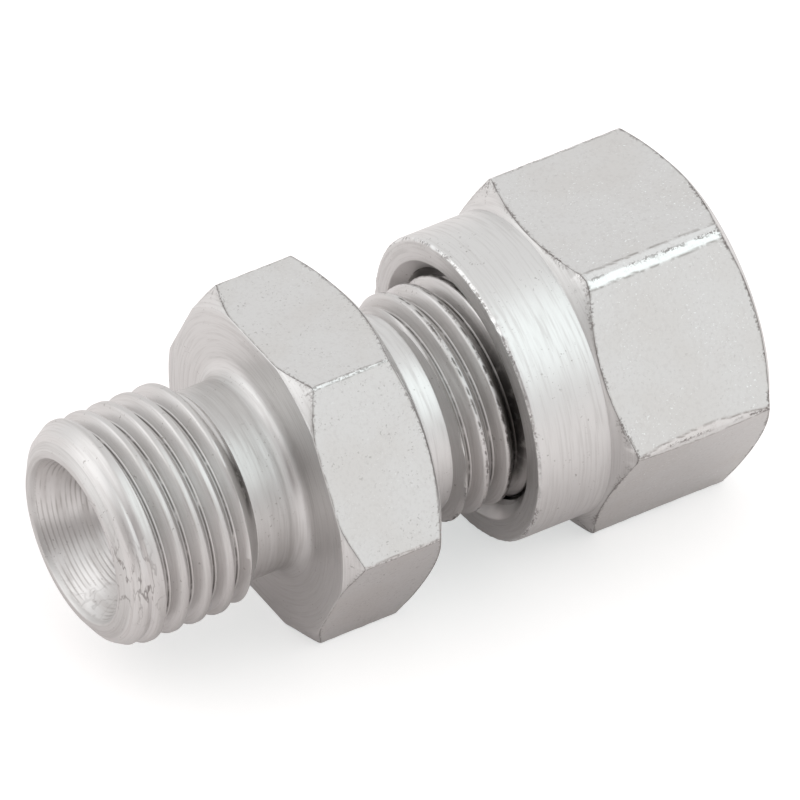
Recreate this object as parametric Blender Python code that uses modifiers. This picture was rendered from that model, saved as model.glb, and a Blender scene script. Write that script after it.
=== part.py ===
"""Male stud coupling for an 8 mm tube, lying on its hexagon flats.

The body is turned from hexagon bar: a threaded stud at -X, a spanner hexagon, and a threaded tube end
with a 24 degree cone at +X. The union nut screws on the tube end and holds the cutting ring against
its own inner seat. All three share one axis along X. The origin is under the middle of the length, on
the plane of the lower flats. Lengths are in metres.
"""

import math

import bmesh
import bpy
from mathutils import Matrix

MM = 0.001

# Hexagon bar, one spanner size for body and nut
ACROSS_FLATS = 19.0 * MM
BODY_HEX_LENGTH = 6.9 * MM
STUD_SIDE_FACE_DIAMETER = 19.68 * MM
STUD_SIDE_CHAMFER = math.radians(37)
WRENCH_FACE_DIAMETER = 18.3 * MM
WRENCH_CHAMFER = math.radians(30)

# M14 x 1.5 thread, the same on the stud, the tube end and the nut
THREAD_MAJOR_DIAMETER = 14.0 * MM
THREAD_CREST_DIAMETER = 13.75 * MM
THREAD_PITCH = 1.5 * MM
THREAD_FLANK = math.radians(30)
THREAD_DEPTH_PER_PITCH = 0.6134
GROOVE_HALF_WIDTH_PER_PITCH = 7 / 16
THREAD_RADIAL_CLEARANCE = 0.17 * MM
THREAD_AXIAL_CLEARANCE = 0.12 * MM
GROOVE_OVERSHOOT = 0.1 * MM

# Stud end
STUD_LENGTH = 12.0 * MM
STUD_RIM_DIAMETER = 10.9 * MM
STUD_LEAD_DIAMETER = 12.7 * MM
STUD_LEAD_STEP = 0.6 * MM
STUD_LEAD_LENGTH = 1.5 * MM
STUD_UNDERCUT_LENGTH = 3.2 * MM
STUD_UNDERCUT_DEPTH = 0.28 * MM
STUD_FILLET = 1.0 * MM
STUD_MOUTH_DIAMETER = 10.1 * MM
STUD_MOUTH_HALF_ANGLE = math.radians(30)
STUD_THREAD_PHASE = 0.11 * MM

# Tube end
TUBE_END_LENGTH = 11.6 * MM
TUBE_UNDERCUT_LENGTH = 2.65 * MM
TUBE_UNDERCUT_DEPTH = 0.05 * MM
TUBE_END_CHAMFER = 0.95 * MM
TUBE_MOUTH_DIAMETER = 10.1 * MM
TUBE_THREAD_PHASE = 1.08 * MM

# Way through
CONE_HALF_ANGLE = math.radians(12)
BORE_DIAMETER = 6.0 * MM
TUBE_DIAMETER = 8.0 * MM
TUBE_CLEARANCE = 0.08 * MM
TUBE_SOCKET_DEPTH = 7.0 * MM

# Cutting ring
RING_LENGTH = 9.5 * MM
RING_NOSE_DIAMETER = 8.9 * MM
RING_SLEEVE_DIAMETER = 10.6 * MM
RING_COLLAR_DIAMETER = 11.6 * MM
RING_REAR_DIAMETER = 9.0 * MM
RING_COLLAR_LENGTH = 1.8 * MM
RING_STEP = 0.5 * MM
RING_EDGE_START = 2.2 * MM
RING_EDGE_LENGTH = 2.6 * MM
RING_EDGE_DEPTH = 0.27 * MM
RING_CONE_CLEARANCE = 0.15 * MM
RING_SEAT_GAP = 0.3 * MM

# Union nut
NUT_LENGTH = 15.45 * MM
NUT_COLLAR_DIAMETER = 18.66 * MM
NUT_COLLAR_LENGTH = 4.77 * MM
NUT_COLLAR_EDGE = 0.22 * MM
NUT_MOUTH_DIAMETER = 15.86 * MM
NUT_RELIEF_LENGTH = 2.2 * MM
NUT_RELIEF_DEPTH = 0.16 * MM
NUT_SEAT_DIAMETER = 12.4 * MM
NUT_TUBE_HOLE_DIAMETER = 8.2 * MM
NUT_HOLE_EDGE = 0.3 * MM
NUT_WALL = 2.1 * MM

# Faceting
SEGMENTS = 40
FILLET_STEPS = 6
HALF_STEP = math.pi / SEGMENTS
BAR_MARGIN = 0.5 * MM

# Worked out from the sizes above. Stations are measured along the axis from the stud's end face.
CORNER_RADIUS = ACROSS_FLATS / math.sqrt(3)
THREAD_MAJOR_RADIUS = THREAD_MAJOR_DIAMETER / 2
THREAD_CREST_RADIUS = THREAD_CREST_DIAMETER / 2
THREAD_ROOT_RADIUS = THREAD_MAJOR_RADIUS - THREAD_DEPTH_PER_PITCH * THREAD_PITCH
STUD_NECK_RADIUS = THREAD_ROOT_RADIUS - STUD_UNDERCUT_DEPTH
TUBE_NECK_RADIUS = THREAD_ROOT_RADIUS - TUBE_UNDERCUT_DEPTH
SOCKET_RADIUS = TUBE_DIAMETER / 2 + TUBE_CLEARANCE
HEX_END = STUD_LENGTH + BODY_HEX_LENGTH
BODY_END = HEX_END + TUBE_END_LENGTH
CONE_DEPTH = (TUBE_MOUTH_DIAMETER / 2 - SOCKET_RADIUS) / math.tan(CONE_HALF_ANGLE)
NOSE_DEPTH = (TUBE_MOUTH_DIAMETER / 2 - RING_NOSE_DIAMETER / 2 - RING_CONE_CLEARANCE) / math.tan(
    CONE_HALF_ANGLE
)
RING_NOSE = BODY_END - NOSE_DEPTH
RING_REAR = RING_NOSE + RING_LENGTH
NUT_SEAT_END = (
    RING_REAR + (RING_REAR_DIAMETER - NUT_TUBE_HOLE_DIAMETER) / 2 + RING_SEAT_GAP * math.sqrt(2)
)
NUT_END = NUT_SEAT_END + NUT_WALL
NUT_FRONT = NUT_END - NUT_LENGTH
NUT_SEAT_START = NUT_SEAT_END - (NUT_SEAT_DIAMETER - NUT_TUBE_HOLE_DIAMETER) / 2
NUT_THREAD_END = NUT_SEAT_START - NUT_RELIEF_LENGTH
AXIS_HEIGHT = ACROSS_FLATS / 2
NUT_CREST_RADIUS = THREAD_ROOT_RADIUS + THREAD_RADIAL_CLEARANCE
NUT_ROOT_RADIUS = THREAD_CREST_RADIUS + THREAD_RADIAL_CLEARANCE


def clear_scene():
    """Remove what a new file holds, so that only the coupling is left."""
    for obj in list(bpy.data.objects):
        bpy.data.objects.remove(obj)


def new_collection(name):
    """A collection linked to the scene."""
    collection = bpy.data.collections.new(name)
    bpy.context.scene.collection.children.link(collection)
    return collection


def metal(name, color, roughness):
    """A plain metal finish."""
    material = bpy.data.materials.new(name)
    material.use_nodes = True
    shader = material.node_tree.nodes["Principled BSDF"]
    shader.inputs["Base Color"].default_value = (*color, 1.0)
    shader.inputs["Metallic"].default_value = 1.0
    shader.inputs["Roughness"].default_value = roughness
    return material


def place_on_axis(obj):
    """Turn local +Z to world +X and set the stud's end face at its station."""
    obj.rotation_euler = (0.0, math.pi / 2, 0.0)
    obj.location = (-NUT_END / 2, 0.0, AXIS_HEIGHT)


def add_object(name, mesh, collection):
    """An object on the coupling's axis."""
    obj = bpy.data.objects.new(name, mesh)
    collection.objects.link(obj)
    place_on_axis(obj)
    return obj


def turned_solid(name, outline, collection):
    """Revolve a closed outline of (radius, station) pairs, which runs down its outer side first."""
    bm = bmesh.new()
    points = [
        bm.verts.new((radius * math.cos(HALF_STEP), radius * math.sin(HALF_STEP), station))
        for radius, station in outline
    ]
    for first, second in zip(points, points[1:] + points[:1]):
        bm.edges.new((first, second))
    mesh = bpy.data.meshes.new(name)
    bm.to_mesh(mesh)
    bm.free()
    obj = add_object(name, mesh, collection)
    screw = obj.modifiers.new("turning", "SCREW")
    screw.steps = SEGMENTS
    screw.render_steps = SEGMENTS
    screw.use_merge_vertices = True
    screw.merge_threshold = 0.00001 * MM
    screw.use_normal_calculate = True
    return obj


def as_cutter(obj):
    """Mark a helper that only shapes other pieces."""
    obj.hide_render = True
    obj.display_type = "WIRE"
    return obj


def hexagon_bar(name, low, high, collection):
    """A prism of the bar's hexagon, with one flat straight down."""
    bm = bmesh.new()
    bmesh.ops.create_cone(
        bm,
        cap_ends=True,
        segments=6,
        radius1=CORNER_RADIUS,
        radius2=CORNER_RADIUS,
        depth=high - low,
        matrix=Matrix.Translation((0.0, 0.0, (low + high) / 2)),
    )
    mesh = bpy.data.meshes.new(name)
    bm.to_mesh(mesh)
    bm.free()
    return as_cutter(add_object(name, mesh, collection))


def helical_cutter(name, section, start, end, collection):
    """Sweep a section of (radius, offset) pairs along a right-hand helix from start to end.

    Its facets meet in the middle of the turned facets, so that no two edges coincide.
    """
    steps = round((end - start) / THREAD_PITCH * SEGMENTS)
    bm = bmesh.new()
    corners = [bm.verts.new((radius, 0.0, start + offset)) for radius, offset in section]
    face = bm.faces.new(corners)
    bmesh.ops.spin(
        bm,
        geom=[face],
        cent=(0.0, 0.0, 0.0),
        axis=(0.0, 0.0, 1.0),
        dvec=(0.0, 0.0, THREAD_PITCH / SEGMENTS),
        angle=2 * math.pi * steps / SEGMENTS,
        steps=steps,
        use_duplicate=False,
    )
    bmesh.ops.recalc_face_normals(bm, faces=bm.faces)
    mesh = bpy.data.meshes.new(name)
    bm.to_mesh(mesh)
    bm.free()
    return as_cutter(add_object(name, mesh, collection))


def combine(obj, operation, other):
    """Add an exact Boolean to an object."""
    modifier = obj.modifiers.new(other.name, "BOOLEAN")
    modifier.operation = operation
    modifier.solver = "EXACT"
    modifier.object = other


def finish(obj, material):
    """Keep the shape that the modifiers give, and shade its turned surfaces smooth."""
    graph = bpy.context.evaluated_depsgraph_get()
    shaped = bpy.data.meshes.new_from_object(obj.evaluated_get(graph))
    obj.modifiers.clear()
    obj.data = shaped
    shaped.name = obj.name
    shaped.materials.clear()
    shaped.materials.append(material)
    shaped.shade_smooth()
    shaped.set_sharp_from_angle(angle=math.radians(25))


def fillet_points(radius, station, size):
    """A concave quarter circle from a face down to a neck, as (radius, station) pairs."""
    angles = [math.pi / 2 * step / FILLET_STEPS for step in range(FILLET_STEPS + 1)]
    return [
        (radius + size * (1 - math.sin(angle)), station - size * (1 - math.cos(angle)))
        for angle in angles
    ]


def external_groove_half_width(radius):
    """Half the width of the outside thread's groove at a radius."""
    at_major = THREAD_PITCH * GROOVE_HALF_WIDTH_PER_PITCH
    return at_major - (THREAD_MAJOR_RADIUS - radius) * math.tan(THREAD_FLANK)


def external_groove_section():
    """The V-shaped tool that cuts the outside thread, from its flat root to past the crest."""
    outer = THREAD_CREST_RADIUS + GROOVE_OVERSHOOT
    root_half = external_groove_half_width(THREAD_ROOT_RADIUS)
    outer_half = external_groove_half_width(outer)
    return [
        (THREAD_ROOT_RADIUS, -root_half),
        (outer, -outer_half),
        (outer, outer_half),
        (THREAD_ROOT_RADIUS, root_half),
    ]


def internal_groove_section():
    """The tool that cuts the nut's thread: the outside ridge with its running clearance."""

    def half_width(radius):
        return THREAD_PITCH / 2 - external_groove_half_width(radius) + THREAD_AXIAL_CLEARANCE

    inner = NUT_CREST_RADIUS - GROOVE_OVERSHOOT
    return [
        (inner, -half_width(inner)),
        (inner, half_width(inner)),
        (NUT_ROOT_RADIUS, half_width(NUT_ROOT_RADIUS)),
        (NUT_ROOT_RADIUS, -half_width(NUT_ROOT_RADIUS)),
    ]


def body_outline():
    """The body's section, from the tube end's mouth down the outside and back up the bore."""
    bar = CORNER_RADIUS + BAR_MARGIN
    wrench = WRENCH_FACE_DIAMETER / 2
    stud_face = STUD_SIDE_FACE_DIAMETER / 2
    thread_height = THREAD_CREST_RADIUS - TUBE_NECK_RADIUS
    run_out = THREAD_CREST_RADIUS - STUD_NECK_RADIUS
    undercut = STUD_LENGTH - STUD_UNDERCUT_LENGTH
    tube_side = [
        (TUBE_MOUTH_DIAMETER / 2, BODY_END),
        (THREAD_CREST_RADIUS - TUBE_END_CHAMFER, BODY_END),
        (THREAD_CREST_RADIUS, BODY_END - TUBE_END_CHAMFER),
        (THREAD_CREST_RADIUS, HEX_END + TUBE_UNDERCUT_LENGTH + thread_height * math.tan(THREAD_FLANK)),
        (TUBE_NECK_RADIUS, HEX_END + TUBE_UNDERCUT_LENGTH),
        (TUBE_NECK_RADIUS, HEX_END),
    ]
    hexagon = [
        (wrench, HEX_END),
        (bar, HEX_END - (bar - wrench) * math.tan(WRENCH_CHAMFER)),
        (bar, STUD_LENGTH + (bar - stud_face) * math.tan(STUD_SIDE_CHAMFER)),
        (stud_face, STUD_LENGTH),
    ]
    stud = fillet_points(STUD_NECK_RADIUS, STUD_LENGTH, STUD_FILLET) + [
        (STUD_NECK_RADIUS, undercut),
        (THREAD_CREST_RADIUS, undercut - run_out),
        (THREAD_CREST_RADIUS, STUD_LEAD_LENGTH),
        (STUD_LEAD_DIAMETER / 2, STUD_LEAD_STEP),
        (STUD_RIM_DIAMETER / 2, 0.0),
        (STUD_MOUTH_DIAMETER / 2, 0.0),
    ]
    countersink = (STUD_MOUTH_DIAMETER - BORE_DIAMETER) / 2 / math.tan(STUD_MOUTH_HALF_ANGLE)
    bore = [
        (BORE_DIAMETER / 2, countersink),
        (BORE_DIAMETER / 2, BODY_END - TUBE_SOCKET_DEPTH),
        (SOCKET_RADIUS, BODY_END - TUBE_SOCKET_DEPTH),
        (SOCKET_RADIUS, BODY_END - CONE_DEPTH),
    ]
    return tube_side + hexagon + stud + bore


def ring_outline():
    """The cutting ring's section: cone nose, sleeve, collar with a 45 degree rear, cutting edges."""
    nose = RING_NOSE_DIAMETER / 2
    sleeve = RING_SLEEVE_DIAMETER / 2
    collar = RING_COLLAR_DIAMETER / 2
    rear = RING_REAR_DIAMETER / 2
    collar_rear = RING_REAR - (collar - rear)
    collar_front = collar_rear - RING_COLLAR_LENGTH
    sleeve_front = RING_NOSE + (sleeve - nose) / math.tan(CONE_HALF_ANGLE)
    edge = RING_NOSE + RING_EDGE_START
    return [
        (SOCKET_RADIUS, RING_REAR),
        (rear, RING_REAR),
        (collar, collar_rear),
        (collar, collar_front),
        (sleeve, collar_front - RING_STEP),
        (sleeve, sleeve_front),
        (nose, RING_NOSE),
        (SOCKET_RADIUS, RING_NOSE),
        (SOCKET_RADIUS, edge),
        (SOCKET_RADIUS + RING_EDGE_DEPTH, edge + RING_EDGE_DEPTH),
        (SOCKET_RADIUS + RING_EDGE_DEPTH, edge + RING_EDGE_LENGTH),
        (SOCKET_RADIUS, edge + RING_EDGE_LENGTH + RING_EDGE_DEPTH),
    ]


def nut_outline():
    """The nut's section, from the tube hole's edge down the outside and back up the thread's bore."""
    bar = CORNER_RADIUS + BAR_MARGIN
    wrench = WRENCH_FACE_DIAMETER / 2
    collar = NUT_COLLAR_DIAMETER / 2
    hole = NUT_TUBE_HOLE_DIAMETER / 2
    mouth = NUT_MOUTH_DIAMETER / 2
    seat = NUT_SEAT_DIAMETER / 2
    relief = NUT_ROOT_RADIUS + NUT_RELIEF_DEPTH
    collar_end = NUT_FRONT + NUT_COLLAR_LENGTH
    outside = [
        (hole + NUT_HOLE_EDGE, NUT_END),
        (wrench, NUT_END),
        (bar, NUT_END - (bar - wrench) * math.tan(WRENCH_CHAMFER)),
        (bar, collar_end + (bar - collar) * math.tan(WRENCH_CHAMFER)),
        (collar, collar_end),
        (collar, NUT_FRONT + NUT_COLLAR_EDGE),
        (collar - NUT_COLLAR_EDGE, NUT_FRONT),
        (mouth, NUT_FRONT),
    ]
    inside = [
        (NUT_CREST_RADIUS, NUT_FRONT + mouth - NUT_CREST_RADIUS),
        (NUT_CREST_RADIUS, NUT_THREAD_END),
        (relief, NUT_THREAD_END + (relief - NUT_CREST_RADIUS) * math.tan(THREAD_FLANK)),
        (relief, NUT_SEAT_START),
        (seat, NUT_SEAT_START),
        (hole, NUT_SEAT_END),
        (hole, NUT_END - NUT_HOLE_EDGE),
    ]
    return outside + inside


def groove_start(phase, limit):
    """The last station at or before a limit that lies whole pitches away from the thread's phase."""
    turns_back = math.ceil((phase - limit) / THREAD_PITCH)
    return phase - turns_back * THREAD_PITCH


def make_body(parts, cutters, material):
    """The body, turned from the bar and threaded at both ends.

    Returns the station where the tube end's groove starts, which the nut's thread follows.
    """
    body = turned_solid("stud_body", body_outline(), parts)
    bar = hexagon_bar("body_bar", -BAR_MARGIN, BODY_END + BAR_MARGIN, cutters)
    combine(body, "INTERSECT", bar)
    groove = external_groove_section()
    half = groove[2][1]
    neck_middle = STUD_LENGTH - STUD_FILLET / 2 - STUD_UNDERCUT_LENGTH / 2
    start = groove_start(STUD_THREAD_PHASE, -half)
    tool = helical_cutter("stud_thread_tool", groove, start, neck_middle, cutters)
    combine(body, "DIFFERENCE", tool)
    undercut_end = HEX_END + TUBE_UNDERCUT_LENGTH
    start = groove_start(HEX_END + TUBE_THREAD_PHASE, undercut_end - half)
    tool = helical_cutter("tube_thread_tool", groove, start, BODY_END + half, cutters)
    combine(body, "DIFFERENCE", tool)
    finish(body, material)
    return start


def make_ring(parts, material):
    """The cutting ring, held between the body's cone and the nut's seat."""
    ring = turned_solid("cutting_ring", ring_outline(), parts)
    finish(ring, material)


def make_nut(parts, cutters, material, body_groove):
    """The union nut, its thread half a pitch from the body's groove so that the two mesh."""
    nut = turned_solid("union_nut", nut_outline(), parts)
    bar = hexagon_bar("nut_bar", NUT_FRONT - BAR_MARGIN, NUT_END + BAR_MARGIN, cutters)
    combine(nut, "INTERSECT", bar)
    groove = internal_groove_section()
    half = groove[1][1]
    relief_middle = NUT_THREAD_END + NUT_RELIEF_LENGTH / 2
    start = groove_start(body_groove + THREAD_PITCH / 2, NUT_FRONT - half)
    tool = helical_cutter("nut_thread_tool", groove, start, relief_middle, cutters)
    combine(nut, "DIFFERENCE", tool)
    finish(nut, material)


def main():
    """Build the coupling's three pieces."""
    clear_scene()
    parts = new_collection("male_stud_coupling")
    cutters = new_collection("tools")
    zinc = metal("zinc_plated_steel", (0.62, 0.61, 0.60), 0.34)
    hardened = metal("hardened_steel", (0.42, 0.42, 0.44), 0.3)
    body_groove = make_body(parts, cutters, zinc)
    make_ring(parts, hardened)
    make_nut(parts, cutters, zinc, body_groove)


main()
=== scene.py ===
# %% [markdown]
# # The looks of a male stud coupling
#
# The coupling is three turned pieces of steel on one axis: a body with a threaded stud, a spanner hexagon
# and a threaded tube end, a union nut, and a cutting ring inside the nut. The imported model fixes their
# sizes and places. This lesson makes a fine surface for each of them, with rounded edges, smooth helical
# threads and the marks that drawing, turning, thread rolling and zinc plating leave on the steel.

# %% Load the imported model
import math

import bmesh
import bpy
import numpy as np
from mathutils import Matrix, Vector


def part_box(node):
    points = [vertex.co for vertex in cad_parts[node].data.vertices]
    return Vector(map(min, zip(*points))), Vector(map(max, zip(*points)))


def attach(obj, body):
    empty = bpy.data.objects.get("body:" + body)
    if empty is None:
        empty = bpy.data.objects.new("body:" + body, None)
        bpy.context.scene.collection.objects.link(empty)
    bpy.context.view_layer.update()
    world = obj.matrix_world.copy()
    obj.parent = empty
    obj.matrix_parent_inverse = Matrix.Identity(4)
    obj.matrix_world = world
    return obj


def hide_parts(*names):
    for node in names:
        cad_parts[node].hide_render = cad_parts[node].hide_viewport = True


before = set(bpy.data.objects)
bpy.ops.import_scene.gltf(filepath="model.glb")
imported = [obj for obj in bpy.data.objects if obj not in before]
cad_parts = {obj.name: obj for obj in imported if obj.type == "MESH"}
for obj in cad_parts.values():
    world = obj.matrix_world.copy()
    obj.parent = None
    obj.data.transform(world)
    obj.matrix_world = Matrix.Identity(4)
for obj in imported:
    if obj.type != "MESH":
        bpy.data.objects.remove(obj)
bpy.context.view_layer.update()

MM = 0.001
TAU = 2 * math.pi
print("pieces in the packed model:", sorted(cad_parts))

# %% [markdown]
# ## Where things are
#
# Every place is a station, a radius and an angle. The station runs along the axis from the stud's end
# face, in millimetres, the radius is measured from the axis, and the angle turns from straight down. The
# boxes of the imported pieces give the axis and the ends, so nothing has to be fitted by eye.

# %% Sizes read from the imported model
body_low, body_high = (np.array(corner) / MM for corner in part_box("stud_body"))
nut_low, nut_high = (np.array(corner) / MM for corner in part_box("union_nut"))
ring_low, ring_high = (np.array(corner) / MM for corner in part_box("cutting_ring"))
ORIGIN_X = body_low[0]
ACROSS_FLATS = body_high[2] - body_low[2]
AXIS_Z = body_low[2] + ACROSS_FLATS / 2
BODY_END = body_high[0] - ORIGIN_X
NUT_FRONT = nut_low[0] - ORIGIN_X
NUT_END = nut_high[0] - ORIGIN_X
RING_NOSE = ring_low[0] - ORIGIN_X
RING_REAR = ring_high[0] - ORIGIN_X
APOTHEM = ACROSS_FLATS / 2
CORNER_RADIUS = ACROSS_FLATS / math.sqrt(3)
print(f"hexagon {ACROSS_FLATS:.2f} mm, body {BODY_END:.2f} mm, nut {NUT_FRONT:.2f} to {NUT_END:.2f} mm")

# %% Sizes of the body's form, in millimetres
HEX_START = 12.0
HEX_END = 18.9
STUD_FACE_RADIUS = 9.84
STUD_CHAMFER = math.tan(math.radians(37))
WRENCH_RADIUS = 9.15
WRENCH_CHAMFER = math.tan(math.radians(30))
STUD_MOUTH_RADIUS = 5.05
STUD_RIM_RADIUS = 5.45
STUD_LEAD_RADIUS = 6.35
STUD_LEAD_STEP = 0.6
STUD_LEAD_END = 1.5
STUD_NECK_RADIUS = 5.8
STUD_NECK_START = 8.8
STUD_FILLET = 1.0
BORE_RADIUS = 3.0
SOCKET_RADIUS = 4.08
SOCKET_DEPTH = 7.0
CONE_SLOPE = math.tan(math.radians(12))
COUNTERSINK_SLOPE = math.tan(math.radians(30))
TUBE_MOUTH_RADIUS = 5.05
TUBE_CHAMFER = 0.95
TUBE_NECK_RADIUS = 6.03
TUBE_NECK_END = 21.55

# %% Sizes of the nut's and the ring's form, in millimetres
COLLAR_RADIUS = 9.33
COLLAR_END = NUT_FRONT + 4.77
COLLAR_EDGE = 0.15
NUT_MOUTH_RADIUS = 7.93
NUT_RELIEF = 2.2
NUT_RELIEF_RADIUS = 7.2
NUT_SEAT_RADIUS = 6.2
NUT_WALL = 2.1
TUBE_HOLE_RADIUS = 4.1
HOLE_EDGE = 0.3
RING_NOSE_RADIUS = 4.45
RING_SLEEVE_RADIUS = 5.3
RING_COLLAR_RADIUS = 5.8
RING_REAR_RADIUS = 4.5
RING_COLLAR_LENGTH = 1.8
RING_STEP = 0.5
RING_EDGE_START = 2.2
RING_EDGE_LENGTH = 2.6
RING_EDGE_DEPTH = 0.27

# %% [markdown]
# ## Soft corners and marks
#
# Nothing that was machined and then plated in a barrel keeps a perfectly sharp edge. A light catches each
# edge as a thin line, so every corner here is a small curve. The curves could come from a Bevel modifier,
# but a section that is soft before it is turned costs fewer faces and stays even all the way round.

# %% Soft minimum, maximum, step and bell curve


def soft_min(first, second, blend):
    """The smaller of two values, eased over a width: minus the square of the overlap over four blends."""
    overlap = np.maximum(blend - np.abs(first - second), 0.0)
    return np.minimum(first, second) - overlap * overlap / (4 * blend)


def soft_max(first, second, blend):
    """The larger of two values, eased the same way."""
    return -soft_min(-first, -second, blend)


def smooth_step(low, high, value):
    """From 0 to 1 between two values, as three times the square minus twice the cube."""
    share = np.clip((value - low) / (high - low), 0.0, 1.0)
    return share * share * (3 - 2 * share)


def bell(distance, reach):
    """A bell curve, 1 at no distance: e to the power of minus the square of distance over reach."""
    return np.exp(-((distance / reach) ** 2))


# %% Soft corners and uneven patterns
CORNER_REACH = 0.06
LONGEST_CUT = 0.4
PACES = (0.6, 1.6)


def soften(corners, reach=CORNER_REACH, steps=3):
    """Replace each inner corner of a line of (radius, station) pairs by a quadratic curve.

    The curve leaves the line one reach before the corner and joins the next line one reach after it.
    """
    corners = np.asarray(corners, float)
    inner = corners[1:-1]
    before = corners[:-2] - inner
    after = corners[2:] - inner
    length_before = np.linalg.norm(before, axis=1, keepdims=True)
    length_after = np.linalg.norm(after, axis=1, keepdims=True)
    cut = np.minimum(reach, LONGEST_CUT * np.minimum(length_before, length_after))
    start = (inner + before / length_before * cut)[:, None]
    end = (inner + after / length_after * cut)[:, None]
    t = np.linspace(0.0, 1.0, steps + 1)[None, :, None]
    curve = (1 - t) ** 2 * start + 2 * t * (1 - t) * inner[:, None] + t**2 * end
    return np.concatenate([corners[:1], curve.reshape(-1, 2), corners[-1:]])


def guard_ends(line):
    """Add a point just inside each end of a line, so that the next zone's shading and marks stop there."""
    steps = np.array([line[1] - line[0], line[-2] - line[-1]])
    lengths = np.linalg.norm(steps, axis=1, keepdims=True)
    inside = line[[0, -1]] + steps / lengths * np.minimum(CORNER_REACH, LONGEST_CUT * lengths)
    return np.concatenate([line[:1], inside[:1], line[1:-1], inside[1:], line[-1:]])


def ragged(places, wavelength, seed, waves=9):
    """An uneven pattern between about -1 and 1: a sum of plane waves of random direction and phase.

    places is a tuple of coordinates in millimetres, one for each dimension of the pattern.
    """
    random = np.random.default_rng(seed)
    heading = random.normal(size=(len(places), waves))
    heading /= np.linalg.norm(heading, axis=0)
    pace = TAU / wavelength * random.uniform(*PACES, waves)
    phase = random.uniform(0, TAU, waves)
    along = sum(place[..., None] * heading[i] for i, place in enumerate(places))
    return np.sin(pace * along + phase).sum(axis=-1) / math.sqrt(waves)


# %% [markdown]
# ## One grid for each turned piece
#
# A turned piece is a surface of two parameters: how far one is along its section, and the angle. Most of
# the section is round, so its radius doesn't depend on the angle. On the hexagon it does, and in a thread
# the whole row of points climbs by one pitch in each turn. So each stretch of the section is a zone, an
# array of stations and an array of radii with a row for each step and a column for each angle.
#
# The columns crowd together at the six corners of the hexagon, where the worn edges need them: the angle
# is the even angle plus a small sine of six times itself.

# %% Columns round the axis
COLUMNS = 360
CROWDING = 0.7
SIDES = 6
SECTOR = TAU / SIDES
even_angle = np.linspace(0.0, TAU, COLUMNS + 1)
ANGLE = even_angle + CROWDING / SIDES * np.sin(SIDES * even_angle)
print(f"{COLUMNS} columns, at least {np.degrees(np.diff(ANGLE).min()):.2f} degrees apart")

# %% Zones and their marks
FLAT, TURNED, THREAD, BORED = 0, 1, 2, 3
# Of the marks, the second darkens the colour: with real dirt, and with painted shade in the threads' roots,
# inside the nut and in the gap under its mouth. The third is polish, which makes the metal smoother and
# also lays a painted sheen on it.
MARKS = ("wear", "grime", "polish", "crack")


def zone(station, radius, finish, wear=0.0, grime=0.0, polish=0.0, crack=0.0):
    """One stretch of a section, as arrays with a row for each step and a column for each angle."""
    arrays = np.broadcast_arrays(station, radius, wear, grime, polish, crack, ANGLE[None, :])
    stretch = dict(zip(("station", "radius") + MARKS, arrays))
    stretch["finish"] = np.broadcast_to(finish, len(arrays[0]) - 1)
    return stretch


def round_zone(corners, reach=CORNER_REACH, finish=TURNED, grime=0.0):
    """A round stretch: softened (radius, station) corners, the same at every angle."""
    line = guard_ends(soften(corners, reach))
    return zone(line[:, 1:2], line[:, 0:1], finish, grime=grime)


def around(radius, station):
    """The three coordinates of points at a radius and a station, so that a pattern closes on itself."""
    return (station + 0 * ANGLE, radius * np.cos(ANGLE), radius * np.sin(ANGLE))


# %% Dents and stains
DENT_SIZE = 0.8
NICK_SIZE = 0.3
NICK_SHARE = 0.6


def knock_edge(stretch, radius, station, reach, depth, seed):
    """Dent a round edge: an uneven pattern, times a bell curve of the distance to the edge."""
    near = bell(np.hypot(stretch["radius"] - radius, stretch["station"] - station), reach)
    places = around(radius, stretch["station"])
    dents = ragged(places, DENT_SIZE, seed) + NICK_SHARE * ragged(places, NICK_SIZE, seed + 1)
    knocked = dict(stretch)
    knocked["radius"] = stretch["radius"] + depth * near * (dents - 1)
    knocked["wear"] = np.maximum(stretch["wear"], near)
    # The knocked edge is polished: smoother, and with a painted sheen
    knocked["polish"] = near**3
    return knocked


def stain(stretch, key, station, reach, angle, spread, amount):
    """Raise a mark round one place: a bell curve along the axis times one round it."""
    round_axis = np.exp((np.cos(ANGLE - math.radians(angle)) - 1) / math.radians(spread) ** 2)
    raised = amount * bell(stretch["station"] - station, reach) * round_axis
    stained = dict(stretch)
    stained[key] = np.maximum(stretch[key], raised)
    return stained


# %% [markdown]
# ## The hexagon
#
# The bar was drawn to a hexagon before it was turned, so the flats are the bar's own skin and only the
# chamfers are cut. Seen from the axis, a flat's distance is the apothem over the cosine of the angle from
# its middle. A worn corner is a narrow facet ahead of the two flats, and its depth wavers along the edge.
# The chamfer is a cone, and it meets each flat in the curve that every turned nut shows. The rows of the
# grid follow that curve, so that the edge is clean.

# %% Where each column is on the hexagon, and how its corners waver
FROM_FLAT = (ANGLE + SECTOR / 2) % SECTOR - SECTOR / 2
CORNER = np.minimum((ANGLE / SECTOR).astype(int), SIDES - 1)
FROM_CORNER = ANGLE - (CORNER + 0.5) * SECTOR
CORNERS_APART = 7.0
FACET_BLEND = 0.02
LEAST_CUT = 0.005
WAVER_DEPTH, WAVER_LENGTH = 0.01, 1.3
RIPPLE_DEPTH, RIPPLE_LENGTH = 0.006, 0.45


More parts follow.
